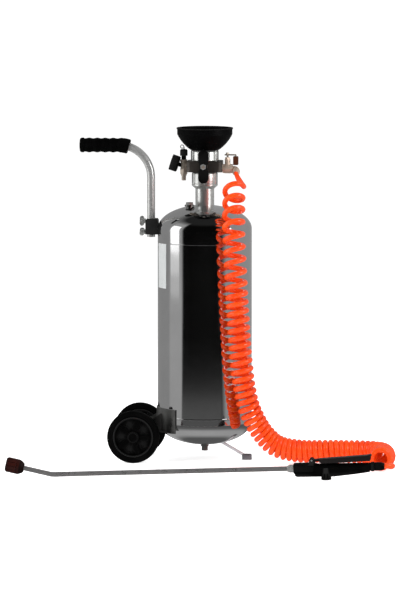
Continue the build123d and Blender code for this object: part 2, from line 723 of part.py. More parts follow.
def gun_swivel_nut():
    nut = lathe_x([
        (GUN_LENGTH + END_GAP, 0), (GUN_LENGTH + END_GAP, 9), (GUN_LENGTH + 2, 10.5), (SWIVEL_NUT_END - 8, 10.5),
        (SWIVEL_NUT_END, 7.5), (SWIVEL_NUT_END, 0),
    ])
    nut -= rod((GUN_LENGTH, 0, 0), (204, 0, 0), SWIVEL_NECK_R + RUNNING_GAP)
    nut -= rod((204 - END_GAP, 0, 0), (207 + END_GAP, 0, 0), SWIVEL_FLANGE_R + RUNNING_GAP)
    nut -= rod((207, 0, 0), (SWIVEL_NUT_END, 0, 0), 3)
    nut -= rod((SWIVEL_NUT_END - SWIVEL_SOCKET, 0, 0), (SWIVEL_NUT_END, 0, 0), HOSE_R + HOSE_SLACK)
    return gun_frame * nut


# Gun and lance

def gun_body():
    shape = lathe_x([
        (0, 0), (0, 12), (2, GUN_R), (48, GUN_R), (60, 11), (188, 10), (190, 12), (GUN_LENGTH, 12),
        (GUN_LENGTH, SWIVEL_NECK_R), (204, SWIVEL_NECK_R), (204, SWIVEL_FLANGE_R), (207, SWIVEL_FLANGE_R), (207, 0),
    ])
    for side in (-1, 1):
        ear = side_plate(make_hull(
            (Pos(*PIVOT) * Circle(6)).edges() + (Pos(PIVOT[0], 4) * Rectangle(18, 4)).edges()), EAR_THICK / 2)
        shape += Pos(0, side * (TRIGGER_HALF + 2.2), 0) * ear
    keel = side_plate(Polygon(*KEEL, align=None), KEEL_HALF)
    shape += chamfer(keel.faces().sort_by(Axis.Z)[:3].edges().filter_by(Axis.Y, reverse=True), 2.5)
    shape -= disc(BONNET_R + END_GAP, BONNET_LOW, BONNET_HIGH, x=VALVE_X)
    shape += disc(BONNET_R, BONNET_HIGH, 0, x=VALVE_X) + disc(6.5, 0, 12.5, x=VALVE_X)
    shape -= disc(6.5, BONNET_HIGH, 2, x=VALVE_X)
    shape -= disc(VALVE_PIN_R + RUNNING_GAP, 0, 13, x=VALVE_X)
    shape -= rod((0, 0, 0), (210, 0, 0), LANCE_BORE_R) + rod((0, 0, 0), (LANCE_SOCKET, 0, 0), LANCE_R)
    pin_hole = rod((PIVOT[0], -14, PIVOT[1]), (PIVOT[0], 14, PIVOT[1]), PIVOT_R)
    return gun_frame * (shape - pin_hole)


def gun_bonnet():
    shape = disc(BONNET_R, BONNET_LOW, BONNET_HIGH, x=VALVE_X)
    shape = fillet(shape.faces().sort_by(Axis.Z)[0].edges(), 3)
    for k in range(10):
        shape -= Pos(VALVE_X, 0) * Rot(0, 0, 36 * k) * disc(1.5, BONNET_LOW + 4, BONNET_HIGH - 1, x=BONNET_R)
    return gun_frame * (shape - disc(7, BONNET_LOW + 4.6, BONNET_HIGH, x=VALVE_X))


def trigger_pin():
    half = TRIGGER_HALF + 3.8
    return gun_frame * rod((PIVOT[0], -half, PIVOT[1]), (PIVOT[0], half, PIVOT[1]), PIVOT_R)


def gun_trigger():
    half = TRIGGER_HALF
    lever = Polygon(*TRIGGER, align=None)
    skirt = Polygon(*SKIRT, align=None)
    shape = side_plate(lever, half)
    behind_eye = Pos(SKIRT[0][0], 0) * Rectangle(GUN_LENGTH, 60, align=(Align.MIN, Align.CENTER))
    shape += side_plate(lever & behind_eye, SKIRT_OUTER)
    shape += side_plate(skirt, SKIRT_OUTER) - side_plate(skirt, SKIRT_INNER)
    shape += rod((PIVOT[0], -half, PIVOT[1]), (PIVOT[0], half, PIVOT[1]), 4.5)
    hole = rod((PIVOT[0], -half, PIVOT[1]), (PIVOT[0], half, PIVOT[1]), PIVOT_R + RUNNING_GAP)
    return gun_frame * (shape - hole)


def gun_valve_pin():
    dome_z = 13.95
    shape = disc(VALVE_PIN_R, -1, dome_z, x=VALVE_X) + Pos(VALVE_X, 0, dome_z) * Sphere(VALVE_PIN_R)
    shape += disc(5.5, -4, -1, x=VALVE_X) + disc(2, -18, -4, x=VALVE_X)
    return gun_frame * shape


def gun_spring():
    return gun_frame * Pos(VALVE_X, 0, 0) * spring(5.2, 0.7, 3.6, BONNET_LOW + 4.7, -4.1)


def lance_nut():
    nut = hexagon(19, 0, 11) + lathe([(0, 11), (9, 11), (7.5, 16), (0, 16)])
    nut -= disc(LANCE_R, 0, 16)
    return gun_frame * Rot(0, -90, 0) * nut


def lance_tube():
    bend = Vector(-LANCE_LENGTH, 0, 0)
    tip_end = bend + tip_direction * (TIP_LENGTH + TIP_SOCKET)
    path = FilletPolyline((LANCE_SOCKET, 0, 0), bend, tip_end, radius=LANCE_BEND_R)
    return gun_frame * swept(Circle(LANCE_R) - Circle(LANCE_BORE_R), path)


def nozzle_body():
    shape = lathe([
        (0, 0), (10, 0), (12, 1), (16, 7), (NOZZLE_R - 1, 11), (NOZZLE_R, 12), (NOZZLE_R, NOZZLE_SPLIT),
        (NOZZLE_SPIGOT_R, NOZZLE_SPLIT), (NOZZLE_SPIGOT_R, NOZZLE_SPIGOT_END), (0, NOZZLE_SPIGOT_END),
    ])
    shape -= disc(LANCE_R, 0, TIP_SOCKET) + disc(LANCE_BORE_R, 0, NOZZLE_SPIGOT_END)
    return gun_frame * nozzle_frame * shape


def nozzle_cap():
    shape = lathe([
        (0, NOZZLE_SPLIT + 0.2), (NOZZLE_R, NOZZLE_SPLIT + 0.2), (NOZZLE_R, NOZZLE_LENGTH - 4),
        (NOZZLE_R - 3, NOZZLE_LENGTH), (4, NOZZLE_LENGTH), (0, NOZZLE_LENGTH - 3),
    ])
    for k in range(NOZZLE_FLUTES):
        shape -= Rot(0, 0, k * 360 / NOZZLE_FLUTES) * disc(1.6, NOZZLE_SPLIT, NOZZLE_LENGTH - 3, x=NOZZLE_R + 0.6)
    shape -= disc(NOZZLE_SPIGOT_R + RUNNING_GAP, NOZZLE_SPLIT, NOZZLE_SPIGOT_END + 0.2)
    shape -= disc(2, NOZZLE_SPIGOT_END, NOZZLE_LENGTH)
    return gun_frame * nozzle_frame * shape


PIECES = {
    "tank_shell": tank_shell,
    "tank_top_head": tank_top_head,
    "tank_bottom_head": tank_bottom_head,
    "neck_ferrule": neck_ferrule,
    "drain_plug": drain_plug,
    "top_plug": top_plug,
    "rating_plate": rating_plate,
    "stand_leg": stand_leg,
    "foot_cap": foot_cap,
    "axle_bracket": axle_bracket,
    "axle": axle,
    "axle_caps": axle_caps,
    "wheel_rim_left": lambda: wheel_rim(1),
    "wheel_rim_right": lambda: wheel_rim(-1),
    "tyre_left": lambda: tyre(1),
    "tyre_right": lambda: tyre(-1),
    "handle_tube": handle_tube,
    "handle_grip": handle_grip,
    "clamp_block": clamp_block,
    "upper_wing_screw": lambda: wing_screw("upper"),
    "lower_wing_screw": lambda: wing_screw("lower"),
    "lower_union": lower_union,
    "upper_union": upper_union,
    "neck_gaskets": neck_gaskets,
    "manifold_block": manifold_block,
    "fill_ball": fill_ball,
    "ball_seats": ball_seats,
    "fill_stem": fill_stem,
    "fill_handle": fill_handle,
    "fill_handle_nut": fill_handle_nut,
    "funnel": funnel,
    "funnel_strainer": funnel_strainer,
    "dip_tube": dip_tube,
    "inlet_cross": inlet_cross,
    "inlet_plug": inlet_plug,
    "safety_valve_body": safety_valve_body,
    "safety_valve_stem": safety_valve_stem,
    "safety_valve_spring": safety_valve_spring,
    "gauge_case": gauge_case,
    "gauge_dial": gauge_dial,
    "gauge_lens": gauge_lens,
    "gauge_needle": gauge_needle,
    "outlet_valve_body": outlet_valve_body,
    "outlet_ball": outlet_ball,
    "outlet_lever": outlet_lever,
    "lever_sleeve": lever_sleeve,
    "hose_elbow": hose_elbow,
    "hose_nut": hose_nut,
    "coil_hose": coil_hose,
    "gun_swivel_nut": gun_swivel_nut,
    "gun_body": gun_body,
    "gun_bonnet": gun_bonnet,
    "trigger_pin": trigger_pin,
    "gun_trigger": gun_trigger,
    "gun_valve_pin": gun_valve_pin,
    "gun_spring": gun_spring,
    "lance_nut": lance_nut,
    "lance_tube": lance_tube,
    "nozzle_body": nozzle_body,
    "nozzle_cap": nozzle_cap,
}

os.makedirs("parts", exist_ok=True)
for name, make in PIECES.items():
    export_step(Pos(-FOOT_X, 0, 0) * make(), f"parts/{name}.step")
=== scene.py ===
import json
from math import acos, atan2, cos, degrees, pi, radians, sin, sqrt, tau

import bpy
from mathutils import Matrix, Vector, noise


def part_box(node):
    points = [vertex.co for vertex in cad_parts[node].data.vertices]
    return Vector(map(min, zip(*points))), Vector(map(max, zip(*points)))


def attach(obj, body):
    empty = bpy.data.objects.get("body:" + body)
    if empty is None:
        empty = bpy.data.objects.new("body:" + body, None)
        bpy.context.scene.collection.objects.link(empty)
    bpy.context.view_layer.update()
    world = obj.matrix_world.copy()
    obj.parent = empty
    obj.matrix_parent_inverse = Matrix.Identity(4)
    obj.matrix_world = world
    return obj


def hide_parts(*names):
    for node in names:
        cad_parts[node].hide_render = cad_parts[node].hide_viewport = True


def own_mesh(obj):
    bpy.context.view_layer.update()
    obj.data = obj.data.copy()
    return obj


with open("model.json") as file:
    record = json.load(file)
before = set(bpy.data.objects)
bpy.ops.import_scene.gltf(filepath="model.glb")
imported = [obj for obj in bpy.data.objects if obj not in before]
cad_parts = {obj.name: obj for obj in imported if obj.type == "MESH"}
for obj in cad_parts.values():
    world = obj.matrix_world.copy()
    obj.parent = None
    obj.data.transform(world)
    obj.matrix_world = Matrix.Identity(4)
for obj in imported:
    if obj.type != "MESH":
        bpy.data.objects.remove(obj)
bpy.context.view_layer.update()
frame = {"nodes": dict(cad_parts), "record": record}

# The wheeled sprayer cart's looks. The CAD's pieces stay where they are and take a finish. The tank, the
# hose, the grip and the springs are drawn again in finer meshes. Lengths are in metres, except in at().

shell_low, shell_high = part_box("tank_shell")
TANK_X = (shell_low.x + shell_high.x) / 2
TANK_R = (shell_high.x - shell_low.x) / 2
TANK_AXIS = Matrix.Translation((TANK_X, 0, 0))
MM = 0.001
UP = Vector((0, 0, 1))


def at(x, y, z):
    """A point given in millimetres from the tank's axis, as a place in the frame."""
    return Vector((TANK_X + x * MM, y * MM, z * MM))


# Node trees

MIX_FIRST, MIX_SECOND, MIX_RESULT = 6, 7, 2     # the colour sockets of a Mix node


class Tree:
    """Short way to add and join the nodes of a material or a world."""

    def __init__(self, node_tree):
        self.tree = node_tree

    def add(self, kind, **values):
        node = self.tree.nodes.new(kind)
        for key, value in values.items():
            setattr(node, key, value)
        return node

    def join(self, output, target):
        self.tree.links.new(output, target)

    def spread(self, value, low, high, start=0.3, end=0.7):
        """Maps a value between two stops onto a new range."""
        ranged = self.add("ShaderNodeMapRange")
        for key, number in (("From Min", start), ("From Max", end), ("To Min", low), ("To Max", high)):
            ranged.inputs[key].default_value = number
        self.join(value, ranged.inputs["Value"])
        return ranged.outputs["Result"]

    def mix(self, factor, first, second):
        """Blends two colours, each given as numbers or as an output."""
        blend = self.add("ShaderNodeMix", data_type="RGBA")
        self.join(factor, blend.inputs["Factor"])
        for socket, colour in ((blend.inputs[MIX_FIRST], first), (blend.inputs[MIX_SECOND], second)):
            if isinstance(colour, (tuple, list)):
                socket.default_value = (*colour, 1)
            else:
                self.join(colour, socket)
        return blend.outputs[MIX_RESULT]

    def math(self, operation, *values):
        """A sum on numbers or outputs."""
        node = self.add("ShaderNodeMath", operation=operation)
        for socket, value in zip(node.inputs, values):
            if isinstance(value, (int, float)):
                socket.default_value = value
            else:
                self.join(value, socket)
        return node.outputs["Value"]

    def vector(self, operation, first, second=(0, 0, 0)):
        """A sum on vectors; DOT_PRODUCT and LENGTH give a number."""
        node = self.add("ShaderNodeVectorMath", operation=operation)
        self.join(first, node.inputs[0])
        node.inputs[1].default_value = second
        return node.outputs["Value" if operation in ("DOT_PRODUCT", "LENGTH") else "Vector"]

    def greys(self, value, stops):
        """Grey levels by position; each stop is a position from 0 to 1 and a level."""
        node = self.add("ShaderNodeValToRGB")
        self.join(value, node.inputs["Fac"])
        elements = node.color_ramp.elements
        while len(elements) < len(stops):
            elements.new(0.5)
        for element, (position, level) in zip(elements, stops):
            element.position = position
            element.color = (level, level, level, 1)
        return node.outputs["Color"]

    def choose(self, factor, first, second):
        """Blends two shaders: the first where the factor is 0, the second where it is 1."""
        node = self.add("ShaderNodeMixShader")
        self.join(factor, node.inputs["Fac"])
        self.join(first, node.inputs[1])
        self.join(second, node.inputs[2])
        return node.outputs["Shader"]

    def seen_by(self, ray):
        return self.add("ShaderNodeLightPath").outputs[f"Is {ray} Ray"]


class Look(Tree):
    """A material's nodes, around its Principled shader."""

    def __init__(self, name):
        self.material = bpy.data.materials.new(name)
        self.material.use_nodes = True
        super().__init__(self.material.node_tree)
        self.shader = self.tree.nodes["Principled BSDF"]
        self.object_space = self.add("ShaderNodeTexCoord").outputs["Object"]

    def noise(self, scale, stretch=(1, 1, 1), detail=4.0, roughness=0.55):
        """Noise over the object's space; stretch makes it run along an axis."""
        mapping = self.add("ShaderNodeMapping")
        mapping.inputs["Scale"].default_value = stretch
        self.join(self.object_space, mapping.inputs["Vector"])
        texture = self.add("ShaderNodeTexNoise")
        texture.inputs["Scale"].default_value = scale
        texture.inputs["Detail"].default_value = detail
        texture.inputs["Roughness"].default_value = roughness
        self.join(mapping.outputs["Vector"], texture.inputs["Vector"])
        return texture.outputs["Fac"]

    def bump(self, height, strength, distance):
        node = self.add("ShaderNodeBump")
        node.inputs["Strength"].default_value = strength
        node.inputs["Distance"].default_value = distance
        self.join(height, node.inputs["Height"])
        self.drive("Normal", node.outputs["Normal"])

    def edges(self, start, end):
        """High along outer edges, where a surface wears first."""
        return self.spread(self.add("ShaderNodeNewGeometry").outputs["Pointiness"], 0, 1, start, end)

    def drive(self, setting, output):
        self.join(output, self.shader.inputs[setting])

    def set(self, **values):
        for key, value in values.items():
            self.shader.inputs[key.replace("_", " ")].default_value = value


# Materials

def steel(name, colour, rough, grain, scratch, stretch=(1, 1, 1), smudge=9, tone=0.12, metal=1.0):
    """Bare or plated metal: fine grain, soft smudges and slightly uneven polish."""
    look = Look(name)
    dark = tuple(level * (1 - tone) for level in colour)
    look.set(Metallic=metal)
    look.drive("Base Color", look.mix(look.spread(look.noise(smudge), 0, 1), dark, colour))
    lines = look.noise(grain, stretch, detail=3)
    smears = look.spread(look.noise(smudge * 2.3), rough * 0.75, rough * 1.35)
    look.drive("Roughness", look.math("MULTIPLY_ADD", look.spread(lines, -0.3, 0.3), rough, smears))
    look.bump(lines, scratch, 0.1 * MM)
    return look.material


def plastic(name, colour, rough, grain=1600, depth=0.25, tone=0.35, worn=None, shine=0.16):
    """Moulded plastic or rubber: fine pebble, dusty patches and paler rubbed edges."""
    look = Look(name)
    worn = worn or tuple(min(1, level * 2.2 + 0.008) for level in colour)
    dusty = tuple(min(1, level * (1 + tone) + 0.001) for level in colour)
    body = look.mix(look.spread(look.noise(24), 0, 1), colour, dusty)
    look.set(Specular_IOR_Level=shine)
    look.drive("Base Color", look.mix(look.edges(0.53, 0.62), body, worn))
    look.drive("Roughness", look.spread(look.noise(60), rough * 0.8, rough * 1.25))
    look.bump(look.noise(grain, detail=2), depth, 0.15 * MM)
    return look.material


def hose_material():
    """Glossy, faintly translucent orange polyurethane, with a painted orange glow that lifts its shaded
    strands.
    """
    look = Look("orange_polyurethane")
    body = look.mix(look.spread(look.noise(30), 0, 1), (0.74, 0.042, 0.003), (0.80, 0.072, 0.006))
    # The emission colour and strength paint an orange glow into the hose, lifting the shade between its
    # strands
    look.set(Specular_IOR_Level=0.45, Coat_Weight=0.3, Coat_Roughness=0.2, Subsurface_Weight=0.12,
             Subsurface_Scale=3 * MM, Subsurface_Radius=(1.0, 0.25, 0.08),
             Emission_Color=(0.85, 0.075, 0.008, 1), Emission_Strength=0.14)
    look.drive("Base Color", body)
    look.drive("Roughness", look.spread(look.noise(140), 0.16, 0.30))
    look.bump(look.noise(700, detail=2), 0.06, 0.1 * MM)
    return look.material


def lens_material():
    """Clear lens with faint smears."""
    look = Look("clear_lens")
    look.set(IOR=1.46, Transmission_Weight=1.0, Base_Color=(0.95, 0.97, 0.98, 1))
    look.drive("Roughness", look.spread(look.noise(90), 0.02, 0.12))
    return look.material


AROUND = (0.02, 0.02, 1)        # a stretch that makes the grain run round an upright axis

STEELS = {
    "polished_steel": dict(colour=(0.70, 0.70, 0.70), rough=0.065, grain=1400, scratch=0.05, stretch=AROUND),
    "neck_satin": dict(colour=(0.78, 0.79, 0.77), rough=0.30, grain=1500, scratch=0.1, metal=0.9),
    "warm_nickel": dict(colour=(0.80, 0.64, 0.52), rough=0.38, grain=1500, scratch=0.12, smudge=60, tone=0.25,
                        metal=0.6),
    "nickel_fitting": dict(colour=(0.58, 0.50, 0.42), rough=0.36, grain=1500, scratch=0.12, smudge=60,
                           tone=0.35, metal=0.75),
    "chrome_fitting": dict(colour=(0.80, 0.81, 0.79), rough=0.24, grain=1500, scratch=0.08, metal=0.85),
    "satin_plate": dict(colour=(0.66, 0.68, 0.68), rough=0.45, grain=2200, scratch=0.2, stretch=AROUND,
                        metal=0.35),
    "lance_steel": dict(colour=(0.36, 0.35, 0.35), rough=0.32, grain=1800, scratch=0.1, smudge=20,
                        metal=0.75),
    "bright_steel": dict(colour=(0.64, 0.64, 0.63), rough=0.32, grain=1800, scratch=0.1, smudge=20,
                         metal=0.75),
    "leg_zinc": dict(colour=(0.86, 0.86, 0.90), rough=0.5, grain=1800, scratch=0.1, smudge=20, metal=0.3),
    "dark_steel": dict(colour=(0.30, 0.30, 0.29), rough=0.38, grain=1100, scratch=0.3, smudge=25, tone=0.3),
    "spring_steel": dict(colour=(0.42, 0.42, 0.42), rough=0.3, grain=2200, scratch=0.15),
}
PLASTICS = {
    "black_plastic": dict(colour=(0.001, 0.001, 0.001), rough=0.42, worn=(0.014, 0.014, 0.014), shine=0.08),
    "funnel_black": dict(colour=(0.0004, 0.0004, 0.0005), rough=0.5, depth=0.12, tone=0.6,
                         worn=(0.008, 0.008, 0.008), shine=0.05),
    "tyre_rubber": dict(colour=(0.001, 0.001, 0.001), rough=0.7, grain=2400, depth=0.4,
                        worn=(0.006, 0.006, 0.006), shine=0.04),
    "grip_rubber": dict(colour=(0.0005, 0.0005, 0.0005), rough=0.6, grain=2600, depth=0.45,
                        worn=(0.005, 0.005, 0.005), shine=0.04),
    "foot_rubber": dict(colour=(0.10, 0.10, 0.11), rough=0.6, grain=2600, depth=0.4),
    "dark_block": dict(colour=(0.020, 0.017, 0.015), rough=0.36, grain=2500, depth=0.2,
                       worn=(0.10, 0.09, 0.08)),
    "lever_brown": dict(colour=(0.05, 0.014, 0.006), rough=0.4, depth=0.15),
    "trigger_black": dict(colour=(0.002, 0.001, 0.001), rough=0.42, depth=0.15, shine=0.1),
    "nozzle_dark": dict(colour=(0.006, 0.0010, 0.0006), rough=0.42, worn=(0.035, 0.006, 0.004)),
    "seal": dict(colour=(0.012, 0.012, 0.012), rough=0.6),
    "seat_white": dict(colour=(0.80, 0.80, 0.78), rough=0.4, tone=0.05, worn=(0.85, 0.85, 0.83)),
    "dial_white": dict(colour=(0.78, 0.78, 0.75), rough=0.5, tone=0.05, depth=0.05, worn=(0.8, 0.8, 0.78)),
    "needle_black": dict(colour=(0.01, 0.01, 0.01), rough=0.4),
}
MATERIALS = {name: steel(name, **look) for name, look in STEELS.items()}
MATERIALS |= {name: plastic(name, **look) for name, look in PLASTICS.items()}
MATERIALS["lens"] = lens_material()
MATERIALS["orange_hose"] = hose_material()

# Nodes whose finish isn't their slot's own
FINISHES = {
    "neck_ferrule": "neck_satin", "lower_union": "neck_satin", "upper_union": "neck_satin",
    "outlet_valve_body": "warm_nickel", "hose_elbow": "warm_nickel", "hose_nut": "warm_nickel",
    "lance_tube": "lance_steel", "stand_leg": "leg_zinc", "foot_cap": "foot_rubber",
}


def finish_nodes():
    """Gives each piece carried over from the CAD its finish."""
    slot_of = {part["node"]: part["material_slot"] for part in frame["record"]["subparts"]}
    for name, node in frame["nodes"].items():
        node.data.materials.clear()
        node.data.materials.append(MATERIALS[FINISHES.get(name, slot_of[name])])


# Mesh building

LATHE_SIDES = 192
CREASE = 32                # degrees, above which an edge stays crisp


def piece(name, vertices, faces, body, slot):
    """A finished piece: its mesh, its slot's material and the body it rides on."""
    mesh = bpy.data.meshes.new(name)
    mesh.from_pydata([tuple(v) for v in vertices], [], faces)
    mesh.validate()
    mesh.polygons.foreach_set("use_smooth", [True] * len(mesh.polygons))
    mesh.materials.append(MATERIALS[slot])
    shape = bpy.data.objects.new(name, mesh)
    bpy.context.scene.collection.objects.link(shape)
    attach(shape, body)
    return shape


def grid_faces(rows, columns, closed_rows=False):
    """Quads joining closed rings of points laid out row by row."""
    faces = []
    for row in range(rows if closed_rows else rows - 1):
        for column in range(columns):
            here, above = row * columns, (row + 1) % rows * columns
            after = (column + 1) % columns
            faces.append((here + column, here + after, above + after, above + column))
    return faces


def lathe(name, profile, place, body, slot, sides=LATHE_SIDES):
    """A closed ring of profile points, each a radius and a height, turned about the local Z axis."""
    vertices = [place @ Vector((radius * cos(tau * k / sides), radius * sin(tau * k / sides), height))
                for radius, height in profile for k in range(sides)]
    faces = [face[::-1] for face in grid_faces(len(profile), sides, closed_rows=True)]
    shape = piece(name, vertices, faces, body, slot)
    shape.data.set_sharp_from_angle(angle=radians(CREASE))
    return shape


def arc(centre, radius_x, radius_y, start, end, steps):
    """Points along an elliptical arc, angles in degrees."""
    angles = [radians(start + (end - start) * k / steps) for k in range(steps + 1)]
    return [(centre[0] + radius_x * cos(a), centre[1] + radius_y * sin(a)) for a in angles]


def smooth_path(points, step):
    """A Catmull-Rom curve through points, sampled at about equal steps."""
    samples_per_step = 4
    padded = [points[0] * 2 - points[1], *points, points[-1] * 2 - points[-2]]
    dense = []
    for p0, p1, p2, p3 in zip(padded, padded[1:], padded[2:], padded[3:]):
        count = max(2, int((p2 - p1).length / step * samples_per_step))
        for k in range(count):
            t = k / count
            dense.append(0.5 * ((2 * p1) + (p2 - p0) * t + (2 * p0 - 5 * p1 + 4 * p2 - p3) * t * t
                                + (3 * p1 - p0 - 3 * p2 + p3) * t ** 3))
    dense.append(points[-1])
    path = [dense[0]]
    travelled = 0.0
    for before, after in zip(dense, dense[1:]):
        travelled += (after - before).length
        if travelled >= step:
            path.append(after)
            travelled = 0.0
    if (path[-1] - dense[-1]).length > step / 10:
        path.append(dense[-1])
    return path


def resample(path, step):
    """Points at equal distances along a polyline, and its last point."""
    result = [path[0]]
    left = step
    for before, after in zip(path, path[1:]):
        length = (after - before).length
        while length > left:
            before = before + (after - before) * (left / length)
            result.append(before)
            length -= left
            left = step
        left -= length
    result.append(path[-1])
    return result


def frames_along(path):
    """Directions and steady side vectors along a path, with no twist of their own."""
    last = len(path) - 1
    ways = [(path[min(k + 1, last)] - path[max(k - 1, 0)]).normalized() for k in range(last + 1)]
    side = ways[0].orthogonal().normalized()
    sides = []
    for k, way in enumerate(ways):
        if k:
            side = ways[k - 1].rotation_difference(way) @ side
        side = (side - way * side.dot(way)).normalized()
        sides.append(side.copy())
    return ways, sides


def tube_mesh(path, radii, sides):
    """Vertices and faces of a round tube with closed ends."""
    vertices = []
    for point, way, side, radius in zip(path, *frames_along(path), radii):
        up = way.cross(side)
        vertices += [point + (side * cos(tau * k / sides) + up * sin(tau * k / sides)) * radius
                     for k in range(sides)]
    faces = grid_faces(len(path), sides)
    faces.append(tuple(reversed(range(sides))))
    faces.append(tuple(range(len(vertices) - sides, len(vertices))))
    return vertices, faces


# Tank: turned as finely as a mirror finish needs

WALL = 0.002
HEAD_RISE = 0.059          # from a head's tangent line to its crown
HEAD_STEPS = 48
NECK_HOLE_R = 0.0235
DRAIN_HOLE_R = 0.006
SEAM_HALF = 0.0024
SEAM_PROUD = 0.0003
SEAM_SUNK = 0.0008         # from the tank's surface to the bead's middle
SEAM_ROOT = 0.0012         # from the tank's surface to the bead's back
SEAM_STEPS = 8
RIPPLES = 230              # round the tank
RIPPLE_LIFT = 0.00006


def head(name, node, tangent, seam, side, hole_r):
    """A pressed head with a hole in its crown; side is 1 for the top one and -1 for the bottom one."""
    first = degrees(acos(hole_r / TANK_R))
    outer = arc((0, tangent), TANK_R, side * HEAD_RISE, first, 0, HEAD_STEPS)
    inner = arc((0, tangent), TANK_R - WALL, side * (HEAD_RISE - WALL), 0, first, HEAD_STEPS)
    profile = [*outer, (TANK_R, seam), (TANK_R - WALL, seam), *inner]
    shape = lathe(name, profile[::side], TANK_AXIS, "cart", "polished_steel")
    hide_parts(node)


def weld_seam(name, height):
    """A low bead round the tank, with overlapping scallops left by the welder's pool."""
    bead = arc((TANK_R - SEAM_SUNK, height), SEAM_SUNK + SEAM_PROUD, SEAM_HALF, 90, -90, SEAM_STEPS)
    back = [(TANK_R - SEAM_ROOT, height - SEAM_HALF), (TANK_R - SEAM_ROOT, height + SEAM_HALF)]
    seam = lathe(name, bead + back, TANK_AXIS, "cart", "polished_steel")
    for vertex in seam.data.vertices:
        out = vertex.co - Vector((TANK_X, 0, vertex.co.z))
        wander = noise.noise(vertex.co * 40) * 2
        vertex.co += out.normalized() * (RIPPLE_LIFT * sin(atan2(out.y, out.x) * RIPPLES + wander))


def tank():
    low_seam, high_seam = shell_low.z, shell_high.z
    top_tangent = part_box("tank_top_head")[1].z - HEAD_RISE
    low_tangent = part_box("tank_bottom_head")[0].z + HEAD_RISE
    head("tank_dome_top", "tank_top_head", top_tangent, high_seam, 1, NECK_HOLE_R)
    head("tank_dome_bottom", "tank_bottom_head", low_tangent, low_seam, -1, DRAIN_HOLE_R)
    barrel = lathe("tank_barrel", [
        (TANK_R, high_seam), (TANK_R - WALL, high_seam), (TANK_R - WALL, low_seam), (TANK_R, low_seam),
    ], TANK_AXIS, "cart", "polished_steel")
    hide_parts("tank_shell")
    weld_seam("weld_seam_low", low_seam)
    weld_seam("weld_seam_high", high_seam)


# Spiral hose

HOSE_R = 0.0066            # thicker than the CAD's, as the photograph shows it
HOSE_END_R = 0.005         # the CAD's own, where the hose enters a nut
HOSE_TAPER = 6             # steps from one radius to the other
HOSE_STEP = 0.0052
HOSE_SIDES = 14
COIL_R = 0.0226
COIL_STEP = 0.0008
COIL_UNEVEN = 0.025        # share by which a turn's radius may wander
COIL_SWAY = 0.0012
TURN_TILT = 0.14           # slope of the hanging turns
HANGS_TO, LIES_FROM = 0.50, 0.62        # shares of the coil's length
COIL_PATH = [
    at(79, -75, 692), at(82, -120, 615), at(84, -129, 540), at(98, -114, 283), at(112, -101, 167),
    at(132, -89, 109), at(159, -83, 68), at(190, -80, 43), at(240, -78, 32.5), at(310, -78, 32),
    at(390, -78, 32), at(443, -100, 31.5), at(458, -160, 31.5), at(452, -225, 31.5),
]
# Share of the coil's length, and the distance between turns there: wide where it hangs, close where it lies
PITCHES = (
    (0.0, 0.033), (0.22, 0.030), (0.27, 0.0215), (0.45, 0.0205), (0.53, 0.0165), (0.60, 0.0135),
    (1.0, 0.0129),
)
TOP_BEND = 0.030           # reach of the bend between the coil and its top nut
TOP_SLOPE = 20             # degrees above level at which the hose enters that nut
BEND_STEPS = 60
TAIL_PATH = [at(462, -262, 22), at(483, -325, 26), at(490, -366, 33), at(484, -388, 34.8)]
TAIL_STEP = 0.004
TAIL_DEPTH = 0.004         # from the gun nut's end face to the point the tail aims at
TAIL_LIFT = 0.0004
TAIL_END = Vector((-0.008, 0, -0.0003))     # from that point to the tail's end
SAME_PLACE = 1e-6


def pitch_at(share):
    for (start, low), (end, high) in zip(PITCHES, PITCHES[1:]):
        if share <= end:
            return low + (high - low) * (share - start) / (end - start)
    return PITCHES[-1][1]


def coil_points():
    """The middle of the tube along all the coil's turns, which start on the side away from the handle."""
    axis = smooth_path(COIL_PATH, COIL_STEP)
    ways, sides = frames_along(axis)
    lengths = [0.0]
    for before, after in zip(axis, axis[1:]):
        lengths.append(lengths[-1] + (after - before).length)
    right = Vector((1, 0, 0))
    angle = atan2(right.dot(ways[0].cross(sides[0])), right.dot(sides[0]))
    wound = []
    for k, (point, way, side) in enumerate(zip(axis, ways, sides)):
        share = lengths[k] / lengths[-1]
        if k:
            angle += tau * (lengths[k] - lengths[k - 1]) / pitch_at(share)
        sway = COIL_SWAY * noise.noise(Vector((lengths[k] * 22, 3.1, 0.7)))
        radius = COIL_R * (1 + COIL_UNEVEN * noise.noise(Vector((lengths[k] * 60, 0.2, 5.0))))
        out = (side * cos(angle) + way.cross(side) * sin(angle)) * radius
        hanging = max(0.0, min(1.0, (LIES_FROM - share) / (LIES_FROM - HANGS_TO)))
        wound.append(point + out + way * (sway + TURN_TILT * hanging * out.y))
    return wound


def ease(points, end, way, reach):
    """A curve that leaves the last of points and arrives at end along way."""
    start = points[-1]
    leave = (start - points[-4]).normalized()
    first_pull, last_pull = start + leave * reach, end - way * reach
    span = []
    for k in range(1, BEND_STEPS + 1):
        t = k / BEND_STEPS
        span.append(start * (1 - t) ** 3 + first_pull * 3 * t * (1 - t) ** 2
                    + last_pull * 3 * t * t * (1 - t) + end * t ** 3)
    return span


